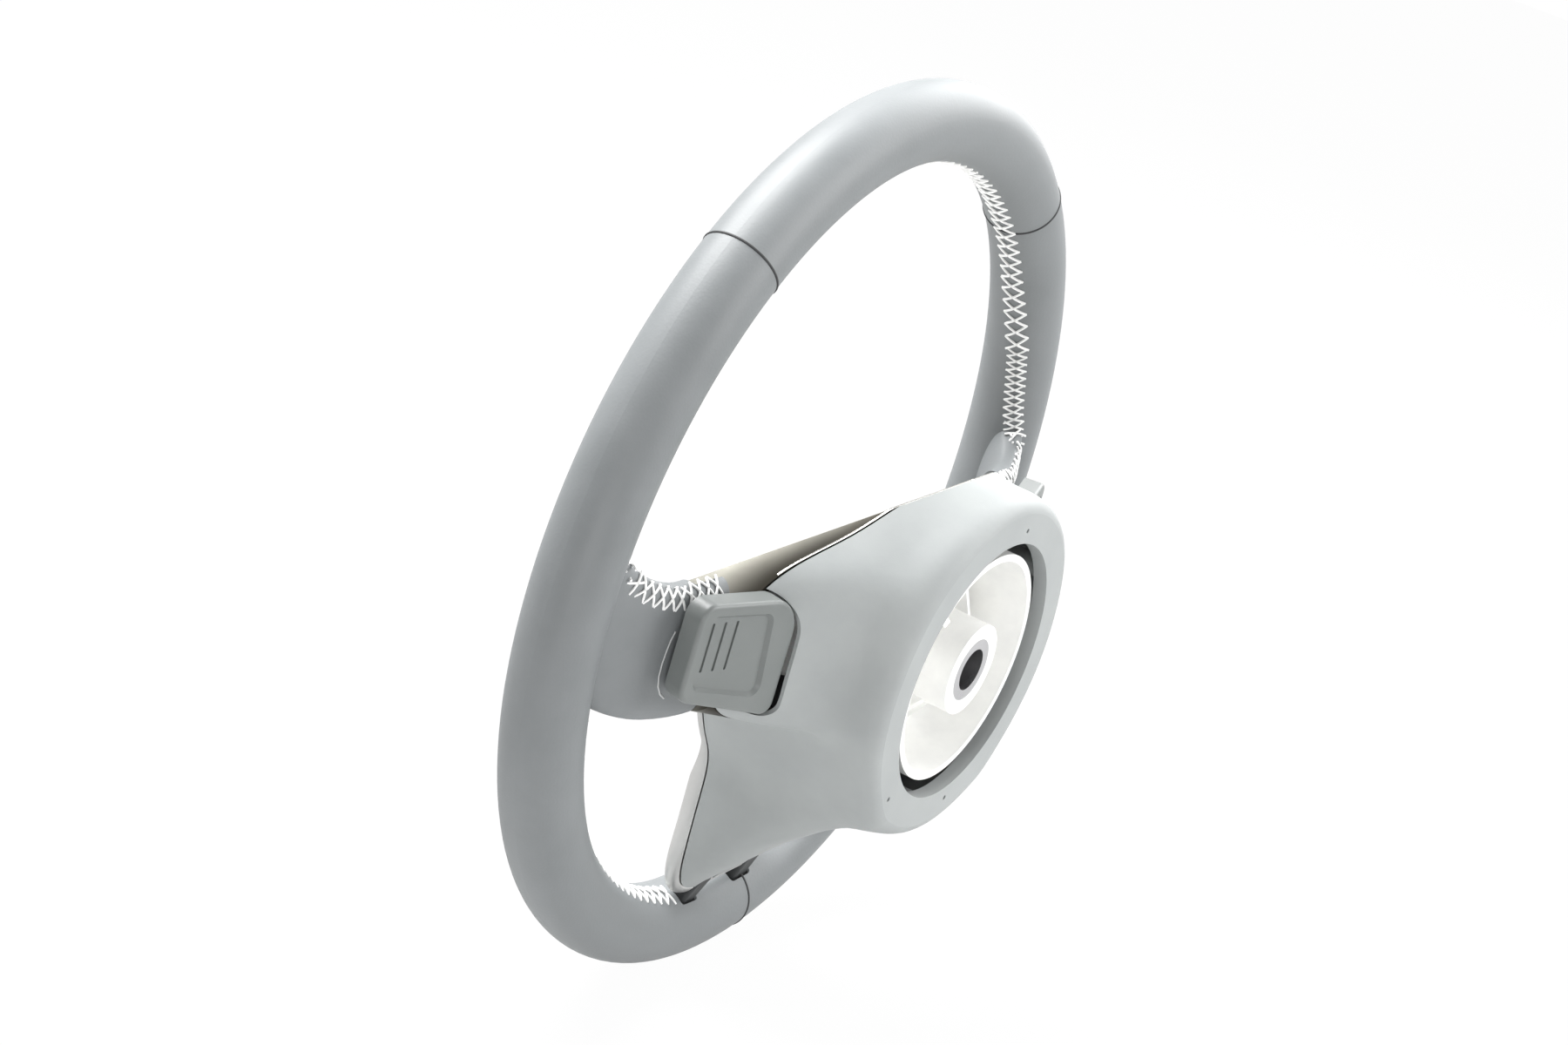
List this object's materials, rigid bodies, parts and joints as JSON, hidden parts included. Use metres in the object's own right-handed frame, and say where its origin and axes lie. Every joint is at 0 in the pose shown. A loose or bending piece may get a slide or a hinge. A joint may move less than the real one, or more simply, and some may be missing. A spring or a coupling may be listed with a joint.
{
  "type": "car steering wheel",
  "caption": "Leather-wrapped car steering wheel with a flared rear cover, metal-look spoke trim, shift paddles, switch panels and a press-in horn pad on a cast armature.",
  "frame": {"origin": "middle of the column sleeve's bore, on the steering axis", "axes": "+X to the driver's right, +Y along the steering axis towards the column, +Z to twelve o'clock"},
  "size_m": [0.3758, 0.1044, 0.3758],
  "materials": {
    "leather": "smooth grain, satin",
    "foam": "moulded foam, matt",
    "steel": "turned",
    "casting": "die cast, bright",
    "cover_plastic": "fine satin grain",
    "trim_metal": "satin, warm silver",
    "paddle_plastic": "satin",
    "black_plastic": "satin",
    "key_plastic": "soft touch",
    "pad_skin": "grained soft skin",
    "bush_rubber": "matt",
    "cushion_fabric": "woven"
  },
  "bodies": {
    "wheel": {"leather_top": "leather", "leather_right": "leather", "leather_left": "leather", "rim_foam": "foam", "rim_core": "steel", "armature": "casting", "column_sleeve": "steel", "rear_cover": "cover_plastic", "spoke_trim": "trim_metal", "foot_trim": "trim_metal", "cover_screws": "steel", "horn_bushes": "bush_rubber", "right_paddle_bracket": "black_plastic", "right_paddle_pin": "steel", "right_paddle_switch": "black_plastic", "right_switch_panel": "black_plastic", "left_paddle_bracket": "black_plastic", "left_paddle_pin": "steel", "left_paddle_switch": "black_plastic", "left_switch_panel": "black_plastic"},
    "horn": {"horn_pad": "pad_skin", "horn_carrier": "steel", "inflator": "steel", "airbag_cushion": "cushion_fabric"},
    "right_paddle": {"right_paddle": "paddle_plastic"},
    "right_rocker": {"right_rocker": "key_plastic"},
    "right_key_1": {"right_key_1": "key_plastic"},
    "right_key_2": {"right_key_2": "key_plastic"},
    "right_key_3": {"right_key_3": "key_plastic"},
    "left_paddle": {"left_paddle": "paddle_plastic"},
    "left_rocker": {"left_rocker": "key_plastic"},
    "left_key_1": {"left_key_1": "key_plastic"},
    "left_key_2": {"left_key_2": "key_plastic"},
    "left_key_3": {"left_key_3": "key_plastic"}
  },
  "joints": [
    {"name": "horn_press", "type": "slide", "parent": "wheel", "child": "horn", "axis": [0, 1, 0], "range_m": [0, 0.003], "stiffness_N_per_m": 6000, "springref_m": -0.004},
    {"name": "right_paddle_pull", "type": "hinge", "parent": "wheel", "child": "right_paddle", "pos_m": [0.1, -0.035, 0.009], "axis": [0, 0, -1], "range_deg": [0, 5], "stiffness_Nm_per_rad": 2, "springref_deg": -5.73},
    {"name": "right_rocker_tilt", "type": "hinge", "parent": "wheel", "child": "right_rocker", "pos_m": [0.073, -0.059, 0.0015], "axis": [1, 0, 0], "range_deg": [-3, 3], "stiffness_Nm_per_rad": 1},
    {"name": "right_key_1_press", "type": "slide", "parent": "wheel", "child": "right_key_1", "axis": [0, 1, 0], "range_m": [0, 0.0012], "stiffness_N_per_m": 1500, "springref_m": -0.001},
    {"name": "right_key_2_press", "type": "slide", "parent": "wheel", "child": "right_key_2", "axis": [0, 1, 0], "range_m": [0, 0.0012], "stiffness_N_per_m": 1500, "springref_m": -0.001},
    {"name": "right_key_3_press", "type": "slide", "parent": "wheel", "child": "right_key_3", "axis": [0, 1, 0], "range_m": [0, 0.0012], "stiffness_N_per_m": 1500, "springref_m": -0.001},
    {"name": "left_paddle_pull", "type": "hinge", "parent": "wheel", "child": "left_paddle", "pos_m": [-0.1, -0.035, 0.009], "axis": [0, 0, 1], "range_deg": [0, 5], "stiffness_Nm_per_rad": 2, "springref_deg": -5.73},
    {"name": "left_rocker_tilt", "type": "hinge", "parent": "wheel", "child": "left_rocker", "pos_m": [-0.073, -0.059, 0.0015], "axis": [1, 0, 0], "range_deg": [-3, 3], "stiffness_Nm_per_rad": 1},
    {"name": "left_key_1_press", "type": "slide", "parent": "wheel", "child": "left_key_1", "axis": [0, 1, 0], "range_m": [0, 0.0012], "stiffness_N_per_m": 1500, "springref_m": -0.001},
    {"name": "left_key_2_press", "type": "slide", "parent": "wheel", "child": "left_key_2", "axis": [0, 1, 0], "range_m": [0, 0.0012], "stiffness_N_per_m": 1500, "springref_m": -0.001},
    {"name": "left_key_3_press", "type": "slide", "parent": "wheel", "child": "left_key_3", "axis": [0, 1, 0], "range_m": [0, 0.0012], "stiffness_N_per_m": 1500, "springref_m": -0.001}
  ]
}
